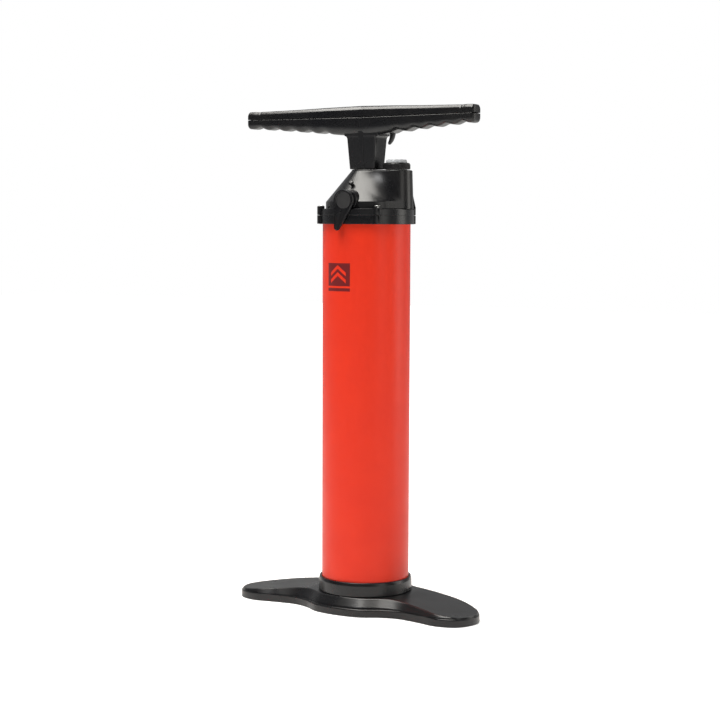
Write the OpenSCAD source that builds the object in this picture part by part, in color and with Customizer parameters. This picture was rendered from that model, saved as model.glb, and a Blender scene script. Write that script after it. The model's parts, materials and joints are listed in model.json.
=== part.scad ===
// Upright double-action hand pump held down by the feet on a winged base.
// Millimetres. Origin: middle of the base's underside. +Z up, +X along the handle, -Y to the front.

/* [View] */
// Piece to show, or all of them

/* [Barrel] */
// Outside diameter of the coloured outer tube
tube_d = 96; // [70:0.5:120]
// Wall of the outer tube
tube_wall = 2.4; // [1.5:0.1:4]
// Bore of the working cylinder
bore_d = 80; // [60:0.5:100]
// Wall of the working cylinder
bore_wall = 1.5; // [1:0.1:3]
// Height where the outer tube starts
tube_foot = 25; // [20:1:40]
// Height where both tubes end
tube_head = 432; // [300:1:600]

/* [Base] */
// Height of the upright rim of the base
rim_h = 8.6; // [5:0.1:15]
// Height of the base under the lower ring
hub_h = 19; // [12:0.5:30]
// Radius of the flat seat for the lower ring
hub_r = 52.5; // [45:0.5:60]
// Wall of the base shell
base_wall = 3; // [2:0.1:5]
// Control points of the right half of the base outline, front middle to back middle
wing = [[0, -61], [27, -57.5], [48, -45.5], [68, -38.5], [93, -41], [118, -43], [140, -33],
        [149, -11], [138, 11], [108, 35], [76, 42], [50, 42], [34, 48], [17, 58], [0, 61]];

/* [Head] */
// Radius of the clamped ring at the barrel's top
ring_r = 51.5; // [48:0.5:60]
// Height of the ring's underside
ring_z = 422; // [400:1:440]
// Height where the tube collar meets the hood's flange
split_z = 431.6; // [425:0.1:436]
// Height of the ring's top face
flange_z = 438.5; // [434:0.1:445]
// Radius of the step above the ring
band_r = 46.5; // [44:0.5:50]
// Height where the cone starts
cone_z = 446.7; // [440:0.1:455]
// Radius of the cone's top
neck_r = 19.4; // [16:0.1:24]
// Height of the cone's top
neck_z = 481; // [470:0.5:490]
// Distance of the hose port from the pump's axis
port_reach = 36; // [34:0.5:40]
// Turn of the hose port from +X toward the back
port_turn = 5; // [0:1:30]
// Radius of the hose port's bore
port_bore_r = 9; // [6:0.1:10]
// Clamp lugs around the ring
lugs = 4; // [2:1:6]

/* [Selector] */
// Height of the selector's spindle
spindle_z = 447.2; // [446:0.1:455]
// Radius of the selector's spindle
spindle_r = 4.6; // [4:0.1:5]
// Radius of the lever's round head
lever_r = 11.6; // [8:0.1:13]
// Length from the spindle to the lever's tip centre
lever_len = 29.8; // [20:0.1:35]
// Radius of the lever's tip
tip_r = 3.2; // [2.5:0.1:6]
// Resting turn of the lever toward -X
lever_rest = 15; // [0:1:20]
// Turn of the selector's axis from the front toward +X
selector_turn = 5; // [0:1:10]
// Radius of the selector's boss
boss_r = 11.6; // [9:0.1:13]

/* [Piston and rod] */
// Rod diameter
rod_d = 16; // [12:0.5:20]
// Height of the piston's underside with the handle down
piston_z = 48; // [44:1:60]
// Length of the piston
piston_h = 26; // [18:1:36]

/* [Handle] */
// Half the handle's length
grip_half = 147.5; // [110:0.5:180]
// Forward sweep of the grip ends
grip_sweep = 15; // [0:1:30]
// Height of the handle's top at the middle
handle_top = 549.8; // [520:0.5:580]
// Depth of the handle at the middle
mid_depth = 30; // [24:1:40]
// Height of the handle at the middle
mid_h = 33; // [24:1:40]
// Depth of a grip end
end_depth = 17.4; // [12:0.1:24]
// Height of a grip end
end_h = 18.7; // [12:0.1:24]
// Height of a grip end's centre
end_z = 537; // [520:0.5:550]
// Width of the stem along X
stem_w = 32; // [26:0.5:40]
// Depth of the stem along Y
stem_d = 21; // [18:0.5:30]
// How much wider and deeper the stem is at its top
stem_grow = 7.4; // [0:0.1:10]
// Width of the hose hook
hook_w = 5.4; // [3:0.1:8]
// Distance between finger hollows
finger_pitch = 20.7; // [18:0.1:26]
// Finger hollows under each grip
fingers = 5; // [3:1:6]

/* [Hidden] */
$fn = 96;
fit = 0.05;
tube_r = tube_d / 2;
tube_in = tube_r - tube_wall;
bore_r = bore_d / 2;
bore_out = bore_r + bore_wall;
rod_r = rod_d / 2;
plate_z = tube_head + 1.5;
plate_top = plate_z + 8;
valve_reach = 26;
vent_reach = 31;
disc_r = 8.5;
disc_t = 1.5;
bush_r = 12;
sleeve_r = 15.2;
lug_r = 4.2;
lug_reach = 50.6;
lug_top = 441.5;
lug_screw = 1.6;
base_screw_r = 2;
base_screw_reach = 37;
web_z = piston_z + 10;
web_h = 6;
tail_r = 6;
seam_z = 537.5;
socket_top = 515;
stem_z = neck_z + 0.5;
stem_top = 533;
mid_z = handle_top - mid_h / 2;
cone_lean = atan2(band_r - neck_r, neck_z - cone_z);
n_wing = 2 * len(wing) - 2;
wing_all = concat(wing, [for (i = [len(wing) - 2:-1:1]) [-wing[i][0], wing[i][1]]]);
wing_steps = 3;

// ---- shared shapes ----

module ring(r_out, r_in, z0, z1) {
  difference() {
    translate([0, 0, z0]) cylinder(r = r_out, h = z1 - z0);
    translate([0, 0, z0 - 1]) cylinder(r = r_in, h = z1 - z0 + 2);
  }
}

module post(r, z0, z1) translate([0, 0, z0]) cylinder(r = r, h = z1 - z0);

module torus(r_mid, r_cord, z) translate([0, 0, z])
  rotate_extrude() translate([r_mid, 0]) circle(r = r_cord, $fn = 32);

module around(count, reach, first = 45) {
  for (i = [0:count - 1]) rotate([0, 0, first + i * 360 / count]) translate([reach, 0, 0]) children();
}

// Screw pointing down with its head's underside at the origin
module screw(shank_r, length, head_r, head_h) {
  translate([0, 0, -length]) cylinder(r = shank_r, h = length, $fn = 32);
  difference() {
    cylinder(r = head_r, h = head_h, $fn = 48);
    for (a = [0, 90]) rotate([0, 0, a]) translate([-head_r * 0.6, -0.4, head_h * 0.45])
      cube([head_r * 1.2, 0.8, head_h]);
  }
}

// Open cage that keeps a valve disc near its seat: a ring with a three-armed bar across it
module cage(r_out, r_in, z0, z1, bar_z, bar_h) {
  ring(r_out, r_in, z0, z1);
  intersection() {
    post(r_in + 0.5, bar_z, bar_z + bar_h);
    for (a = [0, 120, 240]) rotate([0, 0, a]) translate([0, -1, bar_z]) cube([r_in + 1, 2, bar_h]);
  }
}

module along_front(y0, y1, r, z) translate([0, y0, z]) rotate([90, 0, 0]) cylinder(r = r, h = y0 - y1);

// ---- base ----

function spline(a, b, c, d, t) =
  0.5 * (2 * b + (c - a) * t + (2 * a - 5 * b + 4 * c - d) * t * t + (3 * b - a - 3 * c + d) * t * t * t);

outline = [for (i = [0:n_wing - 1]) for (j = [0:wing_steps - 1])
  spline(wing_all[(i + n_wing - 1) % n_wing], wing_all[i], wing_all[(i + 1) % n_wing],
         wing_all[(i + 2) % n_wing], j / wing_steps)];
n_out = len(outline);

function shrink(p, by) = p * (1 - by / norm(p));

// Height of the rising face over a share of the way from the rim to the hub's circle
function rise(share) = lookup(share, [[0, rim_h], [0.55, rim_h + 4.4], [1, hub_h]]);

// Ring of points a share of the way from the outline to the hub's circle
function base_row(inset, share, z) = [for (p = outline)
  let (q = shrink(p, inset) * (1 - share) + p / norm(p) * (hub_r - inset) * share) [q[0], q[1], z]];

// Open-bottomed shell: up the outside of the rim and the rising face, and down again inside it
module base_skin() {
  rows = [base_row(0, 0, 0), base_row(0, 0, rim_h - 1), base_row(1, 0, rim_h), base_row(0.5, 0.55, rise(0.55)),
          base_row(0, 1, hub_h), base_row(base_wall, 1, hub_h - base_wall),
          base_row(base_wall, 0.55, rise(0.55) - base_wall), base_row(base_wall, 0, rim_h - base_wall),
          base_row(base_wall, 0, 0)];
  n_rows = len(rows);
  sides = [for (k = [0:n_rows - 1]) if (k != 4) for (i = [0:n_out - 1])
    let (j = (i + 1) % n_out, a = k * n_out, b = (k + 1) % n_rows * n_out)
    each [[a + i, b + i, a + j], [a + j, b + i, b + j]]];
  polyhedron([for (r = rows) each r], concat(sides,
    [[for (i = [n_out - 1:-1:0]) 4 * n_out + i], [for (i = [0:n_out - 1]) 5 * n_out + i]]), convexity = 8);
}

// Height halfway through the skin's wall over a place on the plan, and how far inside the outline it is
polar = [for (p = outline) [atan2(p[1], p[0]), norm(p)]];
wrapped = concat([for (q = polar) [q[0] - 360, q[1]]], polar, [for (q = polar) [q[0] + 360, q[1]]]);
function inside(x, y) = lookup(atan2(y, x), wrapped) - norm([x, y]);
function rib_top(x, y) = rise(min(1, max(0, 1 - (norm([x, y]) - hub_r) / (inside(x, y) + norm([x, y]) - hub_r))))
  - base_wall / 2;

// Upright wall on a line from one place to another, its top inside the skin
module rib(from, to) {
  steps = 40;
  line = [for (i = [0:steps]) let (t = i / steps, p = from * (1 - t) + to * t)
    if (inside(p[0], p[1]) > base_wall / 2) [norm(p - from), rib_top(p[0], p[1])]];
  translate([from[0], from[1], 0]) rotate([90, 0, atan2(to[1] - from[1], to[0] - from[0])])
    translate([0, 0, -1.2]) linear_extrude(2.4)
      polygon(concat([[line[len(line) - 1][0], 0.4], [line[0][0], 0.4]], line));
}

module base_plate() color([0.09, 0.09, 0.1]) difference() {
  union() {
    base_skin();
    for (s = [-1, 1]) {
      for (x = [66, 90, 114]) rib([s * x, -60], [s * x, 60]);
      for (y = [-18, 18]) rib([s * 24, y], [s * 149, y]);
      rib([0, s * 30], [0, s * 61]);
    }
    ring(31, 28, 0.4, hub_h - 1);
    around(4, base_screw_reach) post(6, 0.4, hub_h - 1);
  }
  post(14, -2, hub_h + 1);
  around(4, base_screw_reach) {
    post(base_screw_r + 0.3, -2, hub_h + 1);
    post(4.4, -2, 13.5);
  }
}

module base_screws() color([0.7, 0.7, 0.72]) around(4, base_screw_reach)
  translate([0, 0, 13.5]) mirror([0, 0, 1]) screw(base_screw_r, 17, 3.9, 2.6);

// ---- lower end of the barrel ----

module lower_ring() color([0.08, 0.08, 0.09]) rotate_extrude() polygon([
  [46.5, hub_h + 0.3], [51.6, hub_h + 0.3], [51.2, 33.3], [50, 34.5], [tube_r + 0.1, 34.5],
  [tube_r + 0.1, 21.1], [46.5, 21.1]]);

module lower_plug() color([0.2, 0.2, 0.21]) difference() {
  union() {
    post(tube_r - 0.1, 21.2, tube_foot - 0.05);
    post(tube_in - 0.2, tube_foot - 1, 40);
    post(bore_r - 0.15, 39, 41.5);
    around(4, base_screw_reach) post(6, hub_h + 0.1, 22);
  }
  ring(tube_in + 1, 42.7, 29.6, 32.8);
  post(10, 18, 42);
  post(15.2, 35, 43);
  around(4, base_screw_reach) post(base_screw_r + fit, 18, 33);
}

module lower_seal() color([0.1, 0.1, 0.1]) torus(44.15, 1.4, 31.2);

module lower_inlet_cage() color([0.85, 0.85, 0.84]) cage(15.1, 13.9, 35.05, 41.4, 39.6, 1.8);

module lower_inlet_disc() color([0.12, 0.12, 0.13]) post(13.4, 35.05, 36.85);

module outer_tube() color([0.87, 0.2, 0.13]) ring(tube_r, tube_in, tube_foot, tube_head);

module inner_cylinder() color([0.75, 0.76, 0.78]) difference() {
  ring(bore_out, bore_r, 40, tube_head);
  around(8, bore_r, 22.5) translate([-4, -5, 42]) cube([8, 10, 5]);
}

// ---- head ----

module top_collar() color([0.09, 0.09, 0.1]) difference() {
  union() {
    post(ring_r, ring_z, split_z - 0.1);
    around(lugs, lug_reach) post(lug_r, ring_z, split_z - 0.1);
  }
  post(tube_r + 0.05, ring_z - 1, split_z + 1);
  around(lugs, lug_reach) post(lug_screw + fit, ring_z + 2, split_z + 1);
}

module head_gasket() color([0.1, 0.1, 0.1]) difference() {
  ring(tube_r - 0.1, bore_r - 0.1, tube_head, plate_z);
  intersection() {
    ring(tube_in - 0.6, bore_out + 0.5, tube_head - 1, plate_z + 1);
    for (a = [0, 90]) rotate([0, 0, a]) translate([-60, -5, tube_head - 2]) cube([120, 10, 6]);
  }
}

// Duct inside the valve plate from the gap between the tubes to a port
module plate_duct(reach, port_r) {
  translate([reach - port_r, -port_r, plate_z + 1.6]) cube([44.6 - reach + port_r, 2 * port_r, 3]);
  translate([42.2, -5, plate_z - 1]) cube([2.4, 10, 4]);
  translate([reach, 0, 0]) post(port_r, plate_z + 2, plate_top + 1);
}

module valve_plate() color([0.8, 0.8, 0.79]) difference() {
  union() {
    post(45.4, plate_z, flange_z - 0.1);
    post(43.6, plate_z, plate_top);
  }
  post(rod_r + 0.5, plate_z - 1, plate_top + 1);
  post(bush_r + fit, plate_top - 5, plate_top + 1);
  for (p = [[-valve_reach, 0], [0, valve_reach]]) translate([p[0], p[1], 0]) post(6, plate_z - 1, plate_top + 1);
  plate_duct(valve_reach, 5.5);
  rotate([0, 0, selector_turn - 90]) plate_duct(vent_reach, 3.5);
}

module upper_inlet_cage() color([0.85, 0.85, 0.84]) translate([0, valve_reach, 0])
  cage(10.4, 8.8, plate_z - 5.8, plate_z - 0.05, plate_z - 5.8, 1.4);

module upper_inlet_disc() color([0.12, 0.12, 0.13]) translate([0, valve_reach, 0])
  post(disc_r, plate_z - 4.35, plate_z - 4.35 + disc_t);

module outlet_cages() color([0.85, 0.85, 0.84]) for (s = [-1, 1]) translate([s * valve_reach, 0, 0])
  cage(10.4, 8.8, plate_top + 0.05, plate_top + 5.2, plate_top + 4.1, 1.1);

module upper_outlet_disc() color([0.12, 0.12, 0.13]) translate([-valve_reach, 0, 0])
  post(disc_r, plate_top + 0.05, plate_top + 0.05 + disc_t);

module lower_outlet_disc() color([0.12, 0.12, 0.13]) translate([valve_reach, 0, 0])
  post(disc_r, plate_top + 0.05, plate_top + 0.05 + disc_t);

module rod_seal() color([0.1, 0.1, 0.1]) ring(bush_r, rod_r + fit, plate_top - 4.95, plate_top - 0.1);

module seal_retainer() color([0.75, 0.76, 0.78]) ring(14.8, rod_r + 0.5, plate_top + 0.05, plate_top + 2);

module rod_bush() color([0.86, 0.85, 0.8]) {
  ring(bush_r, rod_r + fit, neck_z - 14, neck_z - 0.5);
}

module at_selector() rotate([0, 0, selector_turn]) children();

module at_port() rotate([0, 0, port_turn]) translate([port_reach, 0, 0]) children();

module hood_shell() {
  post(ring_r, split_z + 0.1, flange_z);
  post(band_r, split_z + 0.1, cone_z);
  translate([0, 0, cone_z]) cylinder(r1 = band_r - 0.6, r2 = neck_r, h = neck_z - cone_z);
  hull() {
    at_port() translate([0, 0, cone_z - 6]) cylinder(r1 = 17, r2 = 16.2, h = 39.5, $fn = 48);
    translate([0, 0, cone_z]) cylinder(r1 = band_r - 1.8, r2 = neck_r - 1.2, h = neck_z - cone_z - 0.5, $fn = 48);
  }
  around(lugs, lug_reach) post(lug_r, split_z + 0.1, lug_top);
  at_selector() along_front(-20, -47.4, boss_r, spindle_z);
  rotate([0, 0, 29]) translate([0, 1.3, 0]) rotate([90, 0, 0]) linear_extrude(2.6)
    polygon([[40, flange_z - 1], [53.8, flange_z - 1], [53.4, flange_z + 2], [47.5, 466], [40, 466]]);
}

module hood_hollow() {
  difference() {
    rotate_extrude() polygon([[0, 430], [45.6, 430], [45.6, flange_z - 0.05], [43.8, flange_z - 0.05],
      [43.8, 446.4], [22, 474], [0, 474]]);
    post(sleeve_r, plate_top + 0.1, 480);
    at_selector() along_front(-19, -50, boss_r - 0.6, spindle_z);
    translate([0, valve_reach, 0]) post(8.4, plate_top + 0.1, 475);
  }
  post(45.6, 430, flange_z - 0.05);
  post(43.8, 430, plate_top + 0.1);
  post(tube_r + 0.1, split_z - 1, plate_z);
  at_port() post(11.45, 446, neck_z + 1);
}

module head_hood() color([0.1, 0.1, 0.1]) difference() {
  hood_shell();
  hood_hollow();
  post(bush_r + fit, neck_z - 14.1, neck_z + 1);
  post(sleeve_r - 0.2, plate_top - 1, plate_top + 2.2);
  post(rod_r + 0.5, plate_top - 1, neck_z);
  translate([0, valve_reach, 0]) post(6, plate_top - 1, neck_z);
  at_selector() {
    along_front(-23, -50, spindle_r + fit, spindle_z);
    translate([0, -vent_reach, 0]) post(3.5, plate_top - 1, spindle_z);
    translate([0, -40, 0]) post(2.2, spindle_z, spindle_z + 15);
  }
  around(lugs, lug_reach) post(lug_screw + 0.3, split_z - 1, lug_top + 1);
  at_port() post(1.6, 430, 440);
}

module head_screws() color([0.7, 0.7, 0.72]) around(lugs, lug_reach) translate([0, 0, lug_top])
  screw(lug_screw, lug_top - ring_z - 3, 3.2, 2.4);

module port_collar() color([0.06, 0.06, 0.07]) at_port() difference() {
  union() {
    post(15, neck_z + 0.2, 487);
    post(14.3, 486, 488);
  }
  post(11.5, neck_z - 1, 490);
  for (i = [0:23]) rotate([0, 0, i * 15]) translate([14.6, -0.5, neck_z + 1.8]) cube([2, 1, 10]);
}

module port_insert() color([0.78, 0.79, 0.8]) at_port() difference() {
  union() {
    post(11.4, 466.6, 489.4);
    translate([0, 0, 489.4]) cylinder(r1 = 11.4, r2 = 10.4, h = 2.2);
  }
  post(port_bore_r, 465, 493);
  ring(12, 9.9, 472, 474.8);
}

module port_seal() color([0.1, 0.1, 0.1]) at_port() torus(10.7, 0.72, 473.4);

module lanyard_knob() color([0.07, 0.07, 0.08])
  translate([0, -31.2, cone_z + (band_r - 31.2) * cos(cone_lean) / sin(cone_lean) - 0.6])
  rotate([90 - cone_lean, 0, 0]) translate([0, 0, 0.2]) {
    cylinder(r = 1.8, h = 4);
    translate([0, 0, 3]) cylinder(r1 = 3.2, r2 = 2.6, h = 2.2);
  }

// ---- selector ----

module selector_spindle() color([0.3, 0.3, 0.31]) at_selector() difference() {
  union() {
    along_front(-23.2, -48.1, spindle_r, spindle_z);
    along_front(-48, -51, 4, spindle_z);
  }
  along_front(-29, -41.5, 2.4, spindle_z);
  translate([0, -vent_reach, spindle_z]) rotate([0, 90, 0]) cylinder(r = 1.9, h = spindle_r + 1);
  translate([0, -40, spindle_z]) rotate([0, -90, 0]) cylinder(r = 1.8, h = spindle_r + 1);
  along_front(-43.6, -60, 1.5, spindle_z);
  difference() {
    along_front(-25, -27.4, spindle_r + 1, spindle_z);
    along_front(-24, -28, spindle_r - 1.1, spindle_z);
  }
}

module spindle_seal() color([0.1, 0.1, 0.1]) at_selector() translate([0, -26.2, spindle_z]) rotate([90, 0, 0])
  torus(spindle_r - 0.55, 0.52, 0);

module at_lever() at_selector() translate([0, 0, spindle_z]) rotate([0, lever_rest, 0]) children();

module selector_lever() color([0.07, 0.07, 0.08]) at_lever() difference() {
  union() {
    along_front(-48.2, -54, 8.2, 0);
    hull() {
      along_front(-52.1, -54.2, lever_r, 0, $fn = 48);
      translate([0, 0, -lever_len]) along_front(-53, -55.8, tip_r, 0, $fn = 32);
    }
    difference() {
      along_front(-54, -55.4, lever_r, 0);
      along_front(-53, -57, lever_r - 2.4, 0);
    }
  }
  along_front(-54.15, -60, lever_r - 2.4, 0);
  along_front(-47, -51.1, 4 + fit, 0);
  along_front(-50, -57, 1.8, 0);
  along_front(-52.6, -57, 3.6, 0);
}

module lever_screw() color([0.7, 0.7, 0.72]) at_lever() translate([0, -52.65, 0]) rotate([90, 0, 0])
  screw(1.45, 8, 3.3, 1.3);

module lever_cap() color([0.12, 0.12, 0.12]) at_lever() difference() {
  along_front(-54.25, -55, lever_r - 2.6, 0);
  for (a = [-6:2:6]) rotate([0, 40, 0]) translate([a - 0.3, -60, -12]) cube([0.6, 5.3, 24]);
}

// ---- piston and rod ----

module piston_core() color([0.22, 0.22, 0.24]) difference() {
  post(39.3, piston_z, piston_z + piston_h);
  post(13, piston_z - 1, web_z);
  ring(36, 14, web_z + web_h, piston_z + piston_h + 1);
  post(tail_r + fit, piston_z - 1, piston_z + piston_h + 1);
  post(rod_r + 0.4, web_z + web_h, piston_z + piston_h + 1);
  for (z = [piston_z + 3, piston_z + piston_h - 7]) ring(41, 36.6, z, z + 4);
}

module piston_seals() color([0.1, 0.1, 0.1]) for (z = [piston_z + 3, piston_z + piston_h - 7])
  ring(bore_r - fit, 36.7, z + 0.1, z + 3.9);

module pump_rod() color([0.78, 0.79, 0.8]) difference() {
  union() {
    post(rod_r, web_z + web_h + 0.3, socket_top - 0.6);
    post(tail_r, piston_z + 1.5, web_z + web_h + 1);
  }
  post(3.5, piston_z, socket_top);
  translate([0, -15, 506]) rotate([-90, 0, 0]) cylinder(r = 2.52, h = 30);
}

module rod_nut() color([0.7, 0.7, 0.72]) difference() {
  translate([0, 0, piston_z + 3.6]) linear_extrude(6) circle(r = 10.4, $fn = 6);
  post(tail_r + 0.02, piston_z, web_z);
}

// ---- handle ----

// Rounded cross-section of a grip, depth along its first axis
function grip_section(depth, height, round) = [for (k = [0:3]) for (a = [0:22.5:90])
  let (sx = (k == 0 || k == 3) ? 1 : -1, sy = k < 2 ? 1 : -1, t = k * 90 + a)
  [sx * (depth / 2 - round) + round * cos(t), sy * (height / 2 - round) + round * sin(t)]];

module grip_slice(x, y, z, depth, height, round) translate([x, y, z]) rotate([90, 0, 90])
  linear_extrude(0.1, center = true) polygon(grip_section(depth, height, round));

// Both arms of the handle, shrunk on every side by the inset
module arms(inset) {
  for (s = [-1, 1]) hull() {
    grip_slice(-s * inset * 0.01, 0, mid_z, mid_depth - 2 * inset, mid_h - 2 * inset, 6 - inset);
    grip_slice(s * (grip_half - 0.05 - inset), -grip_sweep, end_z, end_depth - 2 * inset, end_h - 2 * inset, 5 - inset);
  }
}

module at_grip_screws() {
  for (s = [-1, 1]) for (x = [46, 118]) translate([s * x, -grip_sweep * x / grip_half, 0]) children();
}

module finger_hollows() {
  for (s = [-1, 1]) for (i = [0:fingers - 1]) let (x = 46 + i * finger_pitch, t = x / grip_half)
    translate([s * x, 20, (mid_z - mid_h / 2) * (1 - t) + (end_z - end_h / 2) * t - 23.2])
      rotate([90, 0, 0]) cylinder(r = 25, h = 60);
}

module stem() {
  hull() {
    translate([0, 0, stem_z]) linear_extrude(0.1) polygon(grip_section(stem_w, stem_d, 3));
    translate([0, 0, stem_top]) linear_extrude(0.1)
      polygon(grip_section(stem_w + stem_grow, stem_d + stem_grow, 3));
  }
  translate([-2.9, -stem_d / 2 - 0.75, stem_z]) rotate([atan2(stem_grow / 2, stem_top - stem_z), 0, 0])
    cube([5.8, 3, stem_top - stem_z - 4]);
}

module handle_lower() color([0.08, 0.08, 0.09]) difference() {
  union() {
    arms(0);
    stem();
  }
  translate([-200, -60, seam_z]) cube([400, 120, 40]);
  difference() {
    arms(3);
    at_grip_screws() post(5, 500, 560);
    post(12, 480, 524);
  }
  finger_hollows();
  post(rod_r + fit, stem_z - 1, socket_top);
  translate([0, -15, 506]) rotate([-90, 0, 0]) cylinder(r = 2.55, h = 30);
  at_grip_screws() {
    post(1.9, 500, 545);
    post(4, 500, 529);
  }
  translate([30.1, -hook_w / 2 - 0.05, 500]) cube([6.3, hook_w + 0.1, 24]);
}

module handle_upper() color([0.08, 0.08, 0.09]) difference() {
  arms(0);
  translate([-200, -60, 500]) cube([400, 120, seam_z + 0.15 - 500]);
  difference() {
    arms(3);
    at_grip_screws() post(5, 500, 560);
  }
  at_grip_screws() post(1.65, 500, 541.5);
}

module handle_screws() color([0.7, 0.7, 0.72]) at_grip_screws() translate([0, 0, 528.9])
  mirror([0, 0, 1]) screw(1.6, 11.5, 3.7, 2);

module cross_pin() color([0.7, 0.7, 0.72]) translate([0, -stem_d / 2 + 0.6, 506]) rotate([-90, 0, 0])
  cylinder(r = 2.5, h = stem_d - 1.2);

// Claw beside the stem that keeps the coiled hose, from the grip's underside down and inward
function bent(a, b, c) = [for (i = [0:8]) let (t = i / 8) (1 - t) * (1 - t) * a + 2 * t * (1 - t) * b + t * t * c];

module hose_hook() color([0.07, 0.07, 0.08]) translate([0, hook_w / 2, 0]) rotate([90, 0, 0]) linear_extrude(hook_w)
  polygon(concat(bent([30.4, 523.9], [30.2, 514], [26.8, 508.8]), bent([28.4, 507], [35.8, 511.8], [36.2, 523.9])));

base_plate();
base_screws();
lower_ring();
lower_plug();
lower_seal();
lower_inlet_cage();
lower_inlet_disc();
outer_tube();
inner_cylinder();
top_collar();
head_gasket();
valve_plate();
upper_inlet_cage();
upper_inlet_disc();
outlet_cages();
upper_outlet_disc();
lower_outlet_disc();
head_hood();
head_screws();
rod_seal();
seal_retainer();
rod_bush();
port_collar();
port_insert();
port_seal();
lanyard_knob();
selector_spindle();
spindle_seal();
selector_lever();
lever_screw();
lever_cap();
piston_core();
piston_seals();
pump_rod();
rod_nut();
handle_lower();
handle_upper();
handle_screws();
cross_pin();
hose_hook();
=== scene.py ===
import json
import math

import bmesh
import bpy
import numpy as np
from mathutils import Matrix, Vector


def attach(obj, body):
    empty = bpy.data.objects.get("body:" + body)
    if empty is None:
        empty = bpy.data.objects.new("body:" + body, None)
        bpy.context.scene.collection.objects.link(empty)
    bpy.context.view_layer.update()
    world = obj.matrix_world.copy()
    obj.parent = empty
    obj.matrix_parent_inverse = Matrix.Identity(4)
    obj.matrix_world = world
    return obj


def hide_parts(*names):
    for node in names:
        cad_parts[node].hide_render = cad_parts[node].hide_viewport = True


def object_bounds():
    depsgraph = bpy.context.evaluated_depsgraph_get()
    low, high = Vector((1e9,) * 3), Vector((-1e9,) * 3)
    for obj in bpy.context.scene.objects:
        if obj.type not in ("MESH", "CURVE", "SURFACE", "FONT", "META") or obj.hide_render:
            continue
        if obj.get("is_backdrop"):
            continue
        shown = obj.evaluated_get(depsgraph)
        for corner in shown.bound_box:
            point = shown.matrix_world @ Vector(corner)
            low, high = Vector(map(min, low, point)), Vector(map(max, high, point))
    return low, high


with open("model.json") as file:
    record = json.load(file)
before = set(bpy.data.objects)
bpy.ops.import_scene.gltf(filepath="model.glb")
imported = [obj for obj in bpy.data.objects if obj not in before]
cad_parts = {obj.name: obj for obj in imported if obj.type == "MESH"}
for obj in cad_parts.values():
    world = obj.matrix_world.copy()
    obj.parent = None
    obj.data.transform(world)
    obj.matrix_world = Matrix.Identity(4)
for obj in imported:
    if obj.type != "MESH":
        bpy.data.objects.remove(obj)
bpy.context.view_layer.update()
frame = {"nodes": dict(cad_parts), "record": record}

mm = 0.001
tau = 2 * math.pi


def gridFaces(rows, cols, closeRows, closeCols):
    # four corners of every cell of a grid, wrapped where it closes on itself
    i, j = np.meshgrid(np.arange(rows if closeRows else rows - 1),
                       np.arange(cols if closeCols else cols - 1), indexing="ij")
    iNext, jNext = (i + 1) % rows, (j + 1) % cols
    cells = np.stack([i * cols + j, iNext * cols + j, iNext * cols + jNext, i * cols + jNext], -1)
    return cells.reshape(-1, 4)


def gridShell(points, closeRows=True, closeCols=True, capEnds=False):
    # points is rows x cols x 3; capEnds closes the first and last row with one flat face each
    rows, cols = points.shape[:2]
    faces = gridFaces(rows, cols, closeRows, closeCols).tolist()
    if capEnds:
        faces.append(list(range(cols - 1, -1, -1)))
        faces.append(list(range((rows - 1) * cols, rows * cols)))
    return points.reshape(-1, 3), faces


def turnedShell(profile, steps=192, wave=None):
    # a closed outline (radius, height) turned about Z; wave adds to the radius by angle and place
    angle = np.linspace(0, tau, steps, endpoint=False)[:, None]
    r, z = np.array(profile, float).T[:, None, :]
    r = r + (wave(angle, z) if wave else 0)
    return gridShell(np.stack([r * np.cos(angle), r * np.sin(angle), z + 0 * angle], -1))


def roundedOutline(corners, radius, steps=5):
    # a closed outline whose corners are cut by quadratic curves between two points on the sides; one more
    # point past each curve keeps the sides flat
    p = np.array(corners, float)
    before, after = np.roll(p, 1, 0) - p, np.roll(p, -1, 0) - p
    lenB, lenA = np.linalg.norm(before, axis=1), np.linalg.norm(after, axis=1)
    cut = np.minimum(np.minimum(radius, lenB * 0.45), lenA * 0.45)[:, None]
    start, end = p + before / lenB[:, None] * cut, p + after / lenA[:, None] * cut
    t = np.linspace(0, 1, steps)[None, :, None]
    curve = (1 - t) ** 2 * start[:, None] + 2 * t * (1 - t) * p[:, None] + t ** 2 * end[:, None]
    ahead = p + after / lenA[:, None] * np.minimum(cut * 1.5, lenA[:, None] * 0.49)
    return np.concatenate([curve, ahead[:, None]], 1).reshape(-1, 2)


def placed(shell, move=(0, 0, 0), turn=0, axis="Z"):
    # moves a shell's points after turning them by degrees about one axis
    points, faces = shell
    m = np.array(Matrix.Rotation(math.radians(turn), 3, axis))
    return points @ m.T + np.array(move, float), faces


def smoothStep(x, low, high):
    t = np.clip((x - low) / (high - low), 0, 1)
    return t * t * (3 - 2 * t)


def makePiece(name, shells, body, material, replaced=(), sharpAngle=34):
    # joins closed shells in millimetres into one mesh in metres, outward and smooth
    points, faces, base = [], [], 0
    for shellPoints, shellFaces in shells:
        points.append(shellPoints)
        faces += [[k + base for k in f] for f in shellFaces]
        base += len(shellPoints)
    mesh = bpy.data.meshes.new(name)
    mesh.from_pydata((np.concatenate(points) * mm).tolist(), [], faces)
    bm = bmesh.new()
    bm.from_mesh(mesh)
    bmesh.ops.remove_doubles(bm, verts=bm.verts, dist=2e-6)
    bmesh.ops.dissolve_degenerate(bm, edges=bm.edges, dist=1e-6)
    bmesh.ops.recalc_face_normals(bm, faces=bm.faces)
    bm.to_mesh(mesh)
    bm.free()
    mesh.polygons.foreach_set("use_smooth", np.ones(len(mesh.polygons), bool))
    mesh.set_sharp_from_angle(angle=math.radians(sharpAngle))
    mesh.materials.append(material)
    piece = bpy.data.objects.new(name, mesh)
    bpy.context.scene.collection.objects.link(piece)
    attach(piece, body)
    if replaced:
        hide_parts(*replaced)
    return piece



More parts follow.
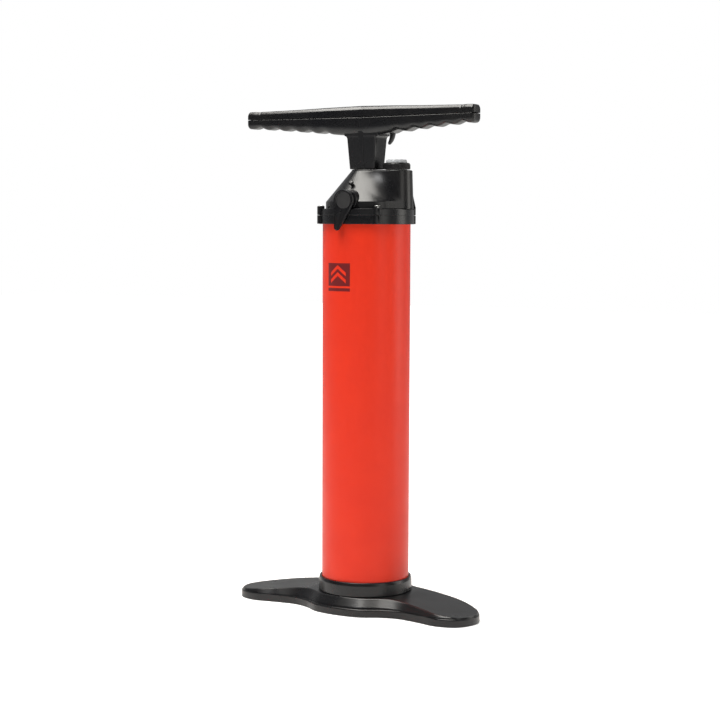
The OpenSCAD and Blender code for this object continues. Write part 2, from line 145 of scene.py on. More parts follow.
def newGroup(name, inputs, outputs):
    group = bpy.data.node_groups.new(name, "ShaderNodeTree")
    for label, kind, value in inputs:
        s = group.interface.new_socket(name=label, in_out="INPUT", socket_type=kind)
        s.default_value = value
    for label, kind in outputs:
        group.interface.new_socket(name=label, in_out="OUTPUT", socket_type=kind)
    return group, group.nodes.new("NodeGroupInput"), group.nodes.new("NodeGroupOutput")


def addNode(tree, kind, **values):
    node = tree.nodes.new(kind)
    for key, value in values.items():
        if hasattr(node, key):
            setattr(node, key, value)
        else:
            node.inputs[key.replace("_", " ").title()].default_value = value
    return node


def addMath(tree, operation, a, b=0.0, clamp=False):
    node = tree.nodes.new("ShaderNodeMath")
    node.operation, node.use_clamp = operation, clamp
    for k, value in enumerate((a, b)):
        if isinstance(value, (int, float)):
            node.inputs[k].default_value = value
        else:
            tree.links.new(value, node.inputs[k])
    return node.outputs[0]


def addRange(tree, value, low, high, toLow=0.0, toHigh=1.0):
    node = tree.nodes.new("ShaderNodeMapRange")
    tree.links.new(value, node.inputs["Value"])
    for label, number in (("From Min", low), ("From Max", high), ("To Min", toLow), ("To Max", toHigh)):
        node.inputs[label].default_value = number
    return node.outputs["Result"]


def buildGrain():
    # moulded grain: fine pebbles over slow unevenness, as a height and a mask
    group, into, out = newGroup("mouldGrain",
                                [("Scale", "NodeSocketFloat", 900.0), ("Softness", "NodeSocketFloat", 0.5)],
                                [("Height", "NodeSocketFloat"), ("Mask", "NodeSocketFloat")])
    place = group.nodes.new("ShaderNodeTexCoord").outputs["Object"]
    pebble = addNode(group, "ShaderNodeTexVoronoi", feature="SMOOTH_F1")
    fine = addNode(group, "ShaderNodeTexNoise", detail=3.0)
    slow = addNode(group, "ShaderNodeTexNoise", scale=26.0, detail=4.0)
    for node in (pebble, fine, slow):
        group.links.new(place, node.inputs["Vector"])
    group.links.new(into.outputs["Scale"], pebble.inputs["Scale"])
    group.links.new(into.outputs["Softness"], pebble.inputs["Smoothness"])
    group.links.new(addMath(group, "MULTIPLY", into.outputs["Scale"], 1.7), fine.inputs["Scale"])
    height = addMath(group, "ADD", addMath(group, "MULTIPLY", pebble.outputs["Distance"], 0.7),
                     addMath(group, "MULTIPLY", fine.outputs["Fac"], 0.5))
    group.links.new(height, out.inputs["Height"])
    group.links.new(addRange(group, slow.outputs["Fac"], 0.35, 0.68), out.inputs["Mask"])
    return group


def buildWear():
    # rubbed edges: where the surface is most convex, broken up by noise
    group, into, out = newGroup("edgeRub",
                                [("Reach", "NodeSocketFloat", 0.5), ("Break", "NodeSocketFloat", 60.0)],
                                [("Mask", "NodeSocketFloat")])
    place = group.nodes.new("ShaderNodeTexCoord").outputs["Object"]
    noise = addNode(group, "ShaderNodeTexNoise", detail=5.0, roughness=0.65)
    group.links.new(place, noise.inputs["Vector"])
    group.links.new(into.outputs["Break"], noise.inputs["Scale"])
    convex = addRange(group, group.nodes.new("ShaderNodeNewGeometry").outputs["Pointiness"], 0.51, 0.6)
    rub = addMath(group, "MULTIPLY", convex, addRange(group, noise.outputs["Fac"], 0.38, 0.62))
    group.links.new(addMath(group, "MULTIPLY", rub, into.outputs["Reach"], True), out.inputs["Mask"])
    return group


def buildDust():
    # fine dust that lies on faces turned upward, thicker in patches
    group, into, out = newGroup("restingDust", [("Amount", "NodeSocketFloat", 0.1)],
                                [("Mask", "NodeSocketFloat")])
    place = group.nodes.new("ShaderNodeTexCoord").outputs["Object"]
    patch = addNode(group, "ShaderNodeTexNoise", scale=38.0, detail=6.0)
    group.links.new(place, patch.inputs["Vector"])
    split = group.nodes.new("ShaderNodeSeparateXYZ")
    group.links.new(group.nodes.new("ShaderNodeNewGeometry").outputs["Normal"], split.inputs[0])
    upward = addRange(group, split.outputs["Z"], 0.25, 1.0)
    mask = addMath(group, "MULTIPLY", upward, addRange(group, patch.outputs["Fac"], 0.3, 0.75))
    group.links.new(addMath(group, "MULTIPLY", mask, into.outputs["Amount"], True), out.inputs["Mask"])
    return group


def buildStrokes():
    # drawn or turned metal: lines stretched along Z or round it, and a few handling smears
    group, into, out = newGroup("drawnLines",
                                [("Along", "NodeSocketFloat", 20.0), ("Across", "NodeSocketFloat", 1800.0)],
                                [("Height", "NodeSocketFloat"), ("Smear", "NodeSocketFloat")])
    place = group.nodes.new("ShaderNodeTexCoord").outputs["Object"]
    join = group.nodes.new("ShaderNodeCombineXYZ")
    for axis, label in (("X", "Across"), ("Y", "Across"), ("Z", "Along")):
        group.links.new(into.outputs[label], join.inputs[axis])
    scale = group.nodes.new("ShaderNodeVectorMath")
    scale.operation = "MULTIPLY"
    group.links.new(place, scale.inputs[0])
    group.links.new(join.outputs[0], scale.inputs[1])
    lines = addNode(group, "ShaderNodeTexNoise", scale=1.0, detail=2.0)
    smear = addNode(group, "ShaderNodeTexNoise", scale=22.0, detail=4.0)
    group.links.new(scale.outputs[0], lines.inputs["Vector"])
    group.links.new(place, smear.inputs["Vector"])
    group.links.new(lines.outputs["Fac"], out.inputs["Height"])
    group.links.new(addRange(group, smear.outputs["Fac"], 0.4, 0.7), out.inputs["Smear"])
    return group


grainGroup, wearGroup, dustGroup, strokeGroup = buildGrain(), buildWear(), buildDust(), buildStrokes()


def putGroup(tree, group, **values):
    node = tree.nodes.new("ShaderNodeGroup")
    node.node_tree = group
    for label, value in values.items():
        node.inputs[label].default_value = value
    return node


def mixColour(tree, factor, a, b):
    node = tree.nodes.new("ShaderNodeMix")
    node.data_type = "RGBA"
    tree.links.new(factor, node.inputs["Factor"])
    for k, value in ((6, a), (7, b)):
        if isinstance(value, tuple):
            node.inputs[k].default_value = (*value, 1)
        else:
            tree.links.new(value, node.inputs[k])
    return node.outputs[2]


def startMaterial(name, constants):
    material = bpy.data.materials.new(name)
    material.use_nodes = True
    tree = material.node_tree
    shader = tree.nodes["Principled BSDF"]
    for label, value in constants.items():
        shader.inputs[label].default_value = value
    return material, tree, shader


def mouldedPlastic(name, look):
    # one plastic: its own colour, slow colour drift, grain, rubbed edges and a little dust
    material, tree, shader = startMaterial(name, look.get("constants", {}))
    grain = putGroup(tree, grainGroup, Scale=look["grainScale"])
    wear = putGroup(tree, wearGroup, Reach=look["wear"])
    dust = putGroup(tree, dustGroup, Amount=look["dust"])
    colour = mixColour(tree, grain.outputs["Mask"], look["colour"], look["drift"])
    colour = mixColour(tree, wear.outputs["Mask"], colour, look["rubbed"])
    colour = mixColour(tree, dust.outputs["Mask"], colour, look["dusty"])
    tree.links.new(colour, shader.inputs["Base Color"])
    rough = addRange(tree, grain.outputs["Mask"], 0, 1, look["rough"][0], look["rough"][1])
    rough = addMath(tree, "ADD", rough, addMath(tree, "MULTIPLY", dust.outputs["Mask"], 0.5), True)
    tree.links.new(rough, shader.inputs["Roughness"])
    bump = addNode(tree, "ShaderNodeBump")
    bump.inputs["Strength"].default_value = look["grainStrength"]
    bump.inputs["Distance"].default_value = look["grainDepth"]
    tree.links.new(grain.outputs["Height"], bump.inputs["Height"])
    tree.links.new(bump.outputs["Normal"], shader.inputs["Normal"])
    return material


def fitBetween(tree, value, half, soft):
    # one inside +-half, falling to nothing over the soft edge
    return addRange(tree, addMath(tree, "ABSOLUTE", value), half + soft, half - soft)


def printPatch(material, look):
    # a print round the barrel: u runs round it and v up it, both in millimetres from the print's middle;
    # a block and a bar below it, with an open chevron where |v + slope * |u|| is small
    tree = material.node_tree
    shader = tree.nodes["Principled BSDF"]
    split = tree.nodes.new("ShaderNodeSeparateXYZ")
    tree.links.new(tree.nodes.new("ShaderNodeTexCoord").outputs["Object"], split.inputs[0])
    turn = addMath(tree, "ARCTAN2", split.outputs["Y"], split.outputs["X"])
    u = addMath(tree, "MULTIPLY", addMath(tree, "SUBTRACT", turn, math.radians(look["turn"])), look["radius"])
    v = addMath(tree, "SUBTRACT", addMath(tree, "MULTIPLY", split.outputs["Z"], 1000.0), look["height"])
    soft = look["soft"]
    across = fitBetween(tree, u, look["halfWidth"], soft)
    block = addMath(tree, "MULTIPLY", across, fitBetween(tree, v, look["halfHeight"], soft))
    fall = addMath(tree, "MULTIPLY", addMath(tree, "ABSOLUTE", u), look["chevronSlope"])
    bent = addMath(tree, "ADD", v, fall)
    reach = fitBetween(tree, u, look["chevronReach"], soft)
    for rise in look["chevrons"]:
        stroke = fitBetween(tree, addMath(tree, "SUBTRACT", bent, rise), look["chevronHalf"], soft)
        open_ = addMath(tree, "MULTIPLY", stroke, reach)
        block = addMath(tree, "MULTIPLY", block, addMath(tree, "SUBTRACT", 1.0, open_))
    low = fitBetween(tree, addMath(tree, "ADD", v, look["barDrop"]), look["barHalf"], soft)
    bar = addMath(tree, "MULTIPLY", across, low)
    plain = shader.inputs["Base Color"].links[0].from_socket
    printed = mixColour(tree, addMath(tree, "MAXIMUM", block, bar), plain, look["ink"])
    tree.links.new(printed, shader.inputs["Base Color"])


def workedMetal(name, look):
    # one metal: drawn lines that bend the light, and smears that dull it
    material, tree, shader = startMaterial(name, {"Metallic": 1.0, **look.get("constants", {})})
    strokes = putGroup(tree, strokeGroup, Along=look["along"], Across=look["across"])
    wear = putGroup(tree, wearGroup, Reach=look["wear"])
    colour = mixColour(tree, strokes.outputs["Smear"], look["colour"], look["drift"])
    colour = mixColour(tree, wear.outputs["Mask"], colour, look["rubbed"])
    tree.links.new(colour, shader.inputs["Base Color"])
    tree.links.new(addRange(tree, strokes.outputs["Smear"], 0, 1, *look["rough"]), shader.inputs["Roughness"])
    bump = addNode(tree, "ShaderNodeBump")
    bump.inputs["Strength"].default_value = 0.25
    bump.inputs["Distance"].default_value = 0.00004
    tree.links.new(strokes.outputs["Height"], bump.inputs["Height"])
    tree.links.new(bump.outputs["Normal"], shader.inputs["Normal"])
    return material


finishes = {
    "satinBlack": dict(
        colour=(0.006, 0.0062, 0.0075), drift=(0.008, 0.0078, 0.0085), rubbed=(0.016, 0.015, 0.015),
        dusty=(0.08, 0.075, 0.07), rough=(0.25, 0.32), grainScale=1500.0, grainStrength=0.07,
        grainDepth=0.00005, wear=0.05, dust=0.015, constants={"Specular IOR Level": 0.46}),
    "barrelOrange": dict(
        colour=(0.8, 0.033, 0.008), drift=(0.77, 0.03, 0.008), rubbed=(0.8, 0.07, 0.035),
        dusty=(0.7, 0.3, 0.24), rough=(0.36, 0.42), grainScale=420.0, grainStrength=0.04,
        grainDepth=0.00012, wear=0.06, dust=0.0, constants={"Specular IOR Level": 0.3}),
    "paleGrey": dict(
        colour=(0.56, 0.58, 0.6), drift=(0.5, 0.52, 0.54), rubbed=(0.7, 0.71, 0.72),
        dusty=(0.5, 0.47, 0.43), rough=(0.28, 0.36), grainScale=900.0, grainStrength=0.08,
        grainDepth=0.00006, wear=0.2, dust=0.03),
    "ivoryAcetal": dict(
        colour=(0.72, 0.7, 0.62), drift=(0.66, 0.64, 0.56), rubbed=(0.8, 0.79, 0.74),
        dusty=(0.5, 0.46, 0.4), rough=(0.32, 0.42), grainScale=800.0, grainStrength=0.1,
        grainDepth=0.00006, wear=0.2, dust=0.03),
    "glassFilledDark": dict(
        colour=(0.017, 0.017, 0.018), drift=(0.024, 0.023, 0.023), rubbed=(0.06, 0.06, 0.06),
        dusty=(0.12, 0.11, 0.1), rough=(0.46, 0.58), grainScale=1100.0, grainStrength=0.35,
        grainDepth=0.0001, wear=0.3, dust=0.02),
    "nitrileRubber": dict(
        colour=(0.018, 0.018, 0.018), drift=(0.026, 0.025, 0.024), rubbed=(0.05, 0.05, 0.05),
        dusty=(0.14, 0.13, 0.12), rough=(0.55, 0.68), grainScale=1300.0, grainStrength=0.25,
        grainDepth=0.00006, wear=0.2, dust=0.05),
}
metals = {
    "drawnAluminium": dict(colour=(0.78, 0.79, 0.8), drift=(0.7, 0.71, 0.73), rubbed=(0.85, 0.85, 0.86),
                           rough=(0.2, 0.34), along=14.0, across=1500.0, wear=0.2),
    "zincSteel": dict(colour=(0.62, 0.62, 0.61), drift=(0.5, 0.5, 0.48), rubbed=(0.75, 0.75, 0.74),
                      rough=(0.28, 0.42), along=500.0, across=500.0, wear=0.5),
}
materials = {name: mouldedPlastic(name, look) for name, look in finishes.items()}
materials.update({name: workedMetal(name, look) for name, look in metals.items()})
patchLook = {"turn": -98.0, "radius": 48.0, "height": 367.9, "halfWidth": 15.4, "halfHeight": 12.3,
             "soft": 0.12, "chevronSlope": 0.75, "chevrons": (0.6, 8.2), "chevronHalf": 2.0,
             "chevronReach": 10.5,
             "barDrop": 16.2, "barHalf": 1.7, "ink": (0.155, 0.0105, 0.012)}
printPatch(materials["barrelOrange"], patchLook)
slotFinish = {"black_plastic": "satinBlack", "barrel": "barrelOrange", "aluminium": "drawnAluminium",
              "steel": "zincSteel", "rubber": "nitrileRubber", "grey_plastic": "paleGrey",
              "ivory_plastic": "ivoryAcetal", "dark_plastic": "glassFilledDark"}
print("materials ready")

# every CAD node takes its slot's finish and keeps its own mesh
for part in frame["record"]["subparts"]:
    node = frame["nodes"][part["node"]]
    node.data.materials.clear()
    node.data.materials.append(materials[slotFinish[part["material_slot"]]])

black, barrelFinish = materials["satinBlack"], materials["barrelOrange"]


baseLook = {
    "wing": [(0, -61), (27, -57.5), (48, -46), (68, -40.5), (93, -43.5), (118, -48), (140, -40), (149, -17),
             (140, 6), (111, 29), (76, 40), (50, 44), (32, 53), (16, 59.5), (0, 61)],
    "tipHeight": 9.6, "tipReach": 145.0, "edgeRise": 1.25, "crest": 1.6,
    "rimHeight": 8.6, "hubHeight": 19.0, "hubRadius": 52.5, "wall": 3.0, "holeRadius": 14.0,
    "stepsPerPoint": 14, "ribsAcross": (66, 90, 114), "ribsAlong": (-18, 18), "screwReach": 37.0,
}


def wingOutline(look):
    # smooth closed curve through the control points: each span is the cubic that leaves and arrives
    # along the line between its neighbours
    right = np.array(look["wing"], float)
    p = np.concatenate([right, right[-2:0:-1] * (-1, 1)])
    a, b, c, d = (np.roll(p, 1 - k, 0)[:, None] for k in range(4))
    t = np.linspace(0, 1, look["stepsPerPoint"], endpoint=False)[None, :, None]
    square, cube = 2 * a - 5 * b + 4 * c - d, 3 * b - a - 3 * c + d
    curve = 0.5 * (2 * b + (c - a) * t + square * t ** 2 + cube * t ** 3)
    return curve.reshape(-1, 2)


def topHeight(x, y, look):
    # height of the top face: the lower of a ramp falling from the hub to the wing's tip and a steeper
    # slope that rises with the distance from the outline, blended over the crest between them
    edge = wingOutline(look)
    start, span = edge, np.roll(edge, -1, 0) - edge
    q = np.stack([x, y], -1)[..., None, :]
    t = np.clip(np.sum((q - start) * span, -1) / np.sum(span * span, -1), 0, 1)
    gap = np.min(np.linalg.norm(q - start - span * t[..., None], axis=-1), -1)
    hub, rim = look["hubHeight"], look["rimHeight"]
    ramp = np.interp(np.abs(x), [look["hubRadius"], look["tipReach"]], [hub, look["tipHeight"]])
    slope = rim + look["edgeRise"] * gap
    blend = np.clip(0.5 + 0.5 * (slope - ramp) / look["crest"], 0, 1)
    return slope * (1 - blend) + ramp * blend - 0.5 * look["crest"] * blend * (1 - blend)


def baseShell(look):
    # the outline shrunk toward the middle and lifted, row by row: underside, rim, top face, hub, hole, cavity
    edge = wingOutline(look)
    reach = np.linalg.norm(edge, axis=1, keepdims=True)
    direction = edge / reach
    rim, hub, wall = look["rimHeight"], look["hubRadius"], look["wall"]
    rows = []

    def addRow(radius, height):
        rows.append(np.concatenate([direction * radius, height + 0 * reach], 1))

    addRow(reach - wall, 0.0)
    addRow(reach - 0.7, 0.0)
    addRow(reach - 0.2, 0.2)
    addRow(reach, 0.8)
    for height in np.linspace(1.6, rim - 1.7, 5):
        addRow(reach, height)
    for turn in np.radians([20, 40, 60, 80]):
        addRow(reach - 1.5 * (1 - np.cos(turn)), rim - 1.5 + 1.5 * np.sin(turn))
    start = reach - 1.7
    shares = np.concatenate([np.linspace(0, 0.3, 16), np.linspace(0.32, 1, 24)])
    for t in shares:
        radius = start * (1 - t) + hub * t
        place = direction * radius
        lift = topHeight(place[:, 0], place[:, 1], look)[:, None]
        settle = smoothStep(t, 0.9, 1.0)                # flat on the hub's circle
        addRow(radius, lift * (1 - settle) + look["hubHeight"] * settle)
    addRow(reach * 0 + hub - 0.6, look["hubHeight"])
    addRow(reach * 0 + 40, look["hubHeight"])
    addRow(reach * 0 + look["holeRadius"], look["hubHeight"])
    addRow(reach * 0 + look["holeRadius"], look["hubHeight"] - wall)
    for t in shares[::-2]:
        outer = direction * (reach * (1 - t) + hub * t)
        addRow((reach - wall) * (1 - t) + (hub - wall) * t,
               topHeight(outer[:, 0], outer[:, 1], look)[:, None] - wall - 0.2)
    addRow(reach - wall, rim - wall - 1)
    return gridShell(np.stack(rows, 1))


def ribShell(start, end, look, thick=2.4):
    # an upright wall under the base from the floor to just inside the top face, cut off inside the rim
    edge = wingOutline(look)
    edgeTurn, edgeReach = np.arctan2(edge[:, 1], edge[:, 0]), np.linalg.norm(edge, axis=1)
    order = np.argsort(edgeTurn)
    s = np.linspace(0, 1, 160)[:, None]
    line = np.array(start, float) * (1 - s) + np.array(end, float) * s
    r = np.linalg.norm(line, axis=1)
    turn = np.arctan2(line[:, 1], line[:, 0])
    reach = np.interp(turn, edgeTurn[order], edgeReach[order], period=tau) - 1.5
    keep = r < reach
    line, r, reach = line[keep], r[keep], reach[keep]
    top = topHeight(line[:, 0], line[:, 1], look) - look["wall"] + 0.9
    along = (line[-1] - line[0]) / np.linalg.norm(line[-1] - line[0])
    side = np.array([-along[1], along[0]]) * thick / 2
    corners = [(line - side, 0 * top), (line + side, 0 * top),
               (line + side * 0.8, top), (line - side * 0.8, top)]
    ring = np.stack([np.concatenate([xy, z[:, None]], 1) for xy, z in corners], 1)
    return gridShell(ring, closeRows=False, capEnds=True)


shells = [baseShell(baseLook)]
for x in baseLook["ribsAcross"]:
    for side in (-1, 1):
        shells.append(ribShell((side * x, -60), (side * x, 60), baseLook))
for y in baseLook["ribsAlong"]:
    for side in (-1, 1):
        shells.append(ribShell((side * 25, y), (side * 149, y), baseLook))
for side in (-1, 1):
    shells.append(ribShell((0, side * 30), (0, side * 61), baseLook))
hubTop = baseLook["hubHeight"] - 1
shells.append(turnedShell(roundedOutline([(28, 0), (31, 0), (31, hubTop), (28, hubTop)], 0.3), 128))
for k in range(4):
    turn = math.radians(45 + 90 * k)
    spot = (baseLook["screwReach"] * math.cos(turn), baseLook["screwReach"] * math.sin(turn), 0)
    boss = roundedOutline([(4.4, 0), (6, 0), (6, hubTop), (2.3, hubTop), (2.3, 13.5), (4.4, 13.5)], 0.3)
    shells.append(placed(turnedShell(boss, 48), spot))
makePiece("footBase", shells, "pump_body", black, ["base_plate"], 40)
print("base ready")


barrelLook = {"radius": 48.0, "wall": 2.4, "foot": 25.0, "head": 432.0, "collarFoot": 422.0,
              "collarTop": 431.6, "collarRadius": 51.5}

r, wall, foot, head = (barrelLook[k] for k in ("radius", "wall", "foot", "head"))
heights = np.linspace(foot + 0.5, head - 0.5, 60)
profile = [(r - wall, foot), (r - 0.3, foot)] + [(r, h) for h in heights]
profile += [(r - 0.3, head), (r - wall, head)] + [(r - wall, h) for h in heights[::-6]]
makePiece("barrelTube", [turnedShell(profile, 256)], "pump_body", barrelFinish, ["outer_tube"])

profile = roundedOutline([(46.5, 19.3), (51.6, 19.3), (51.4, 31.2), (50.4, 34.5), (48.1, 34.5), (48.1, 21.2),
                          (46.5, 21.2)], 0.7)
makePiece("lowerRing", [turnedShell(profile, 256)], "pump_body", black, ["lower_ring"])

lugLook = {"reach": 50.6, "halfWidth": 3.7, "out": 54.7, "slotHalf": 0.75, "slotDepth": 1.3, "count": 4}


def lugShell(low, high, look, rounding=0.5):
    # an upright block with two ribs and a slot between them on its outer face, its ends drawn in
    w, out, sh = look["halfWidth"], look["out"], look["slotHalf"]
    plan = [(47.6, -w), (out - 1.2, -w), (out, -w + 1.0), (out, -sh), (out - look["slotDepth"], -sh),
            (out - look["slotDepth"], sh), (out, sh), (out, w - 1.0), (out - 1.2, w), (47.6, w)]
    plan = roundedOutline(plan, 0.45, 4)
    middle = np.array([look["reach"], 0])
    rows = []
    for height, shrink in ((low, rounding), (low + rounding, 0), (high - rounding, 0), (high, rounding)):
        xy = middle + (plan - middle) * (1 - shrink / 4.2)
        rows.append(np.concatenate([xy, np.full((len(xy), 1), height)], 1))
    return gridShell(np.stack(rows, 0), closeRows=False, capEnds=True)


def allLugs(low, high):
    count = lugLook["count"]
    return [placed(lugShell(low, high, lugLook), turn=45 + 360 / count * k) for k in range(count)]


low, high, out = barrelLook["collarFoot"], barrelLook["collarTop"], barrelLook["collarRadius"]
profile = roundedOutline([(r + 0.06, low), (out, low), (out, high), (r + 0.06, high)], 0.2)
collarShells = [turnedShell(profile, 256)] + allLugs(low + 0.2, high)
makePiece("barrelCollar", collarShells, "pump_body", black, ["top_collar"])
print("barrel ready")


hoodLook = {
    "flangeFoot": 431.66, "flangeTop": 438.5, "flangeRadius": 51.5, "bandRadius": 44.6, "bandTop": 446.7,
    "coneFoot": 44.0, "neckRadius": 15.7, "neckTop": 481.0, "portReach": 36.0, "portTurn": 5.0,
    "towerFoot": 18.6, "towerHead": 17.2, "towerTop": 480.2, "shell": 2.8, "boreRadius": 12.1, "steps": 480,
    "intakeReach": 26.0, "intakeRadius": 6.0, "intakeFloor": 456.0,
}


def coneRadius(z, look):
    # straight cone from the band's top to the neck
    t = np.clip((z - look["bandTop"]) / (look["neckTop"] - look["bandTop"]), 0, 1)
    return look["coneFoot"] + (look["neckRadius"] - look["coneFoot"]) * t


def hoodRadius(angle, z, look):
    # distance from the axis of the tight skin round two circles, the cone's and the tower's, in each
    # direction: the tower's far side, then the straight tangent, then the cone
    r0 = coneRadius(z, look)
    t = np.clip((z - look["flangeTop"]) / (look["towerTop"] - look["flangeTop"]), 0, 1)
    r1 = look["towerFoot"] + (look["towerHead"] - look["towerFoot"]) * t
    d = look["portReach"]
    turn = np.abs((angle - math.radians(look["portTurn"]) + math.pi) % tau - math.pi)
    lean = np.arccos(np.clip((r0 - r1) / d, -1, 1))                 # direction square to the tangent line
    touchX, touchY = d + r1 * np.cos(lean), r1 * np.sin(lean)
    touch = np.arctan2(touchY, touchX)
    far = d * np.cos(turn) + np.sqrt(np.maximum(r1 ** 2 - (d * np.sin(turn)) ** 2, 0))
    line = r0 / np.maximum(np.cos(np.minimum(lean, 1.56) - turn), 0.2)
    skin = np.where(turn <= touch, far, np.where(turn <= lean, line, r0))
    return np.maximum(skin, r0)


def hoodShell(look):
    # for every direction a closed outline: flange, step, band, cone or tower, flat top, rod bore, inner wall
    angle = np.linspace(0, tau, look["steps"], endpoint=False)
    cols = []

    def addCol(radius, height):
        radius, height = radius + 0 * angle, height + 0 * angle
        cols.append(np.stack([radius * np.cos(angle), radius * np.sin(angle), height], -1))

    flange, band, foot, step = look["flangeRadius"], look["bandRadius"], look["flangeFoot"], look["flangeTop"]
    for dr, dz in ((0.14, 0), (0.04, 0.04), (0, 0.14), (0, 0.4)):
        addCol(flange - dr, foot + dz)
    for dr, dz in ((0, 1.0), (0, 0.6), (0.18, 0.18), (0.6, 0), (1.0, 0)):
        addCol(flange - dr, step - dz)
    lower = np.maximum(band, hoodRadius(angle, step + 0.6, look))
    addCol(lower + 0.8, step)
    addCol(lower + 0.25, step + 0.2)
    for z in np.linspace(step + 0.8, look["bandTop"] - 0.7, 6):
        addCol(np.maximum(band, hoodRadius(angle, z, look)), z)
    addCol(np.maximum(band - 0.3, hoodRadius(angle, look["bandTop"], look)), look["bandTop"] - 0.2)
    topHeight = look["neckTop"] + (look["towerTop"] - look["neckTop"]) * smoothStep(
        hoodRadius(angle, look["neckTop"] - 1, look), look["neckRadius"] + 1, look["neckRadius"] + 8)
    edge = 1.3
    for s in np.linspace(0.005, 1, 120):
        z = look["bandTop"] + s * (topHeight - edge - look["bandTop"])
        skin = hoodRadius(angle, z, look)
        away = np.hypot(skin * np.cos(angle), skin * np.sin(angle) - look["intakeReach"])
        sunk = 1 - smoothStep(away, look["intakeRadius"] - 0.3, look["intakeRadius"] + 0.4)
        addCol(skin, z * (1 - sunk) + (look["intakeFloor"] + 0.02 * (z - 460)) * sunk)
    rim = hoodRadius(angle, topHeight - edge, look)
    for turn in np.radians([22, 45, 68, 90]):
        addCol(rim - edge * (1 - np.cos(turn)), topHeight - edge + edge * np.sin(turn))
    portX = look["portReach"] * math.cos(math.radians(look["portTurn"]))
    portY = look["portReach"] * math.sin(math.radians(look["portTurn"]))
    bore = look["boreRadius"]
    for s in np.linspace(0.02, 1, 60):
        radius = (rim - edge) * (1 - s) + bore * s
        height = topHeight * (1 - s) + look["neckTop"] * s
        away = np.hypot(radius * np.cos(angle) - portX, radius * np.sin(angle) - portY)
        addCol(radius, height - 26 * (1 - smoothStep(away, 10.9, 11.6)))
    addCol(bore, 466.0)
    addCol(15.2, 466.0)
    for z in np.linspace(464, 446.5, 14):
        addCol(np.clip(hoodRadius(angle, z, look) - look["shell"] - 1.0, 15.5, 43.7), z)
    for radius, z in ((43.7, 445.4), (43.7, 438.5), (45.6, 438.4), (45.6, 433.6), (48.1, 433.5),
                      (48.1, foot)):
        addCol(radius, z)
    return gridShell(np.stack(cols, 1))


def alongFront(shell, y, z, x=0.0):
    # lays a turned shell down so that its axis runs to the front, with its own zero at y
    return placed(placed(shell, turn=90, axis="X"), (x, y, z))


def finShell(look, turn=29.0, thick=2.6):
    # a flat upright web with drawn-in edges
    plan = roundedOutline([(40, 437.4), (53.6, 437.4), (53.5, 440), (47.8, 465.6), (40, 466)], 1.2)
    middle = plan.mean(0)
    rows = []
    for y, shrink in ((-thick / 2, 0.5), (-thick / 2 + 0.4, 0), (thick / 2 - 0.4, 0), (thick / 2, 0.5)):
        p = middle + (plan - middle) * (1 - shrink / 12)
        rows.append(np.stack([p[:, 0], np.full(len(p), y), p[:, 1]], -1))
    return placed(gridShell(np.stack(rows, 0), closeRows=False, capEnds=True), turn=turn)


selectorLook = {"height": 447.2, "headRadius": 11.6, "tipRadius": 3.2, "length": 29.8, "rest": 15.0,
                "capRadius": 8.6, "hubRadius": 8.2, "turn": 5.0}


def onSelector(shell):
    # turned about Z onto the selector's axis
    return placed(shell, turn=selectorLook["turn"])


boss = roundedOutline([(7.1, 20), (11.6, 20), (11.6, 47.4), (7.1, 47.4)], 0.8)
hoodShells = [hoodShell(hoodLook)] + allLugs(431.8, 441.4) + [finShell(hoodLook)]
hoodShells.append(onSelector(alongFront(turnedShell(boss, 96), 0, selectorLook["height"])))
makePiece("pumpHood", hoodShells, "pump_body", black, ["head_hood"], 38)

# knob on the cone, its stalk square to the slope
knob = roundedOutline([(0, -1), (1.8, -1), (1.8, 2.4), (3.2, 2.9), (3.0, 4.2), (1.6, 5.0), (0, 5.0)], 0.5)
knobReach = 29.5
coneRun = hoodLook["coneFoot"] - hoodLook["neckRadius"]
coneRise = hoodLook["neckTop"] - hoodLook["bandTop"]
knobHeight = hoodLook["bandTop"] + (hoodLook["coneFoot"] - knobReach) * coneRise / coneRun
shell = placed(turnedShell(knob, 48), turn=90 - math.degrees(math.atan2(coneRun, coneRise)), axis="X")
makePiece("lanyardKnob", [placed(shell, (0, -knobReach, knobHeight))], "pump_body", black,
          ["lanyard_knob"])
head = roundedOutline([(0, 439.2), (3.1, 439.2), (3.1, 441.9), (0, 441.9)], 0.5)
atFirstLug = placed(turnedShell(head, 48), (lugLook["reach"], 0, 0))
makePiece("hoodScrews", [placed(atFirstLug, turn=45 + 90 * k) for k in range(lugLook["count"])], "pump_body",
          materials["zincSteel"], ["head_screws"])
print("hood ready")


portAngle = math.radians(hoodLook["portTurn"])
portSpot = (hoodLook["portReach"] * math.cos(portAngle), hoodLook["portReach"] * math.sin(portAngle), 0)


def knurl(angle, z):
    # shallow flutes round the collar, fading at its top and foot
    return 0.22 * np.cos(angle * 60) * smoothStep(z, 481.2, 482.0) * (1 - smoothStep(z, 486.0, 486.8))


profile = roundedOutline([(11.52, 481.2), (14.7, 481.2), (14.7, 482.0), (14.75, 482.2), (14.75, 486.0),
                          (14.5, 486.8), (13.9, 488.0), (11.52, 488.0)], 0.3, 4)
makePiece("portCollar", [placed(turnedShell(profile, 480, knurl), portSpot)], "pump_body",
          black, ["port_collar"])
profile = roundedOutline([(9.02, 466.7), (11.4, 466.7), (11.4, 489.6), (10.5, 491.6), (9.02, 491.6)], 0.5)
makePiece("portInsert", [placed(turnedShell(profile, 160), portSpot)], "pump_body",
          materials["paleGrey"], ["port_insert"])


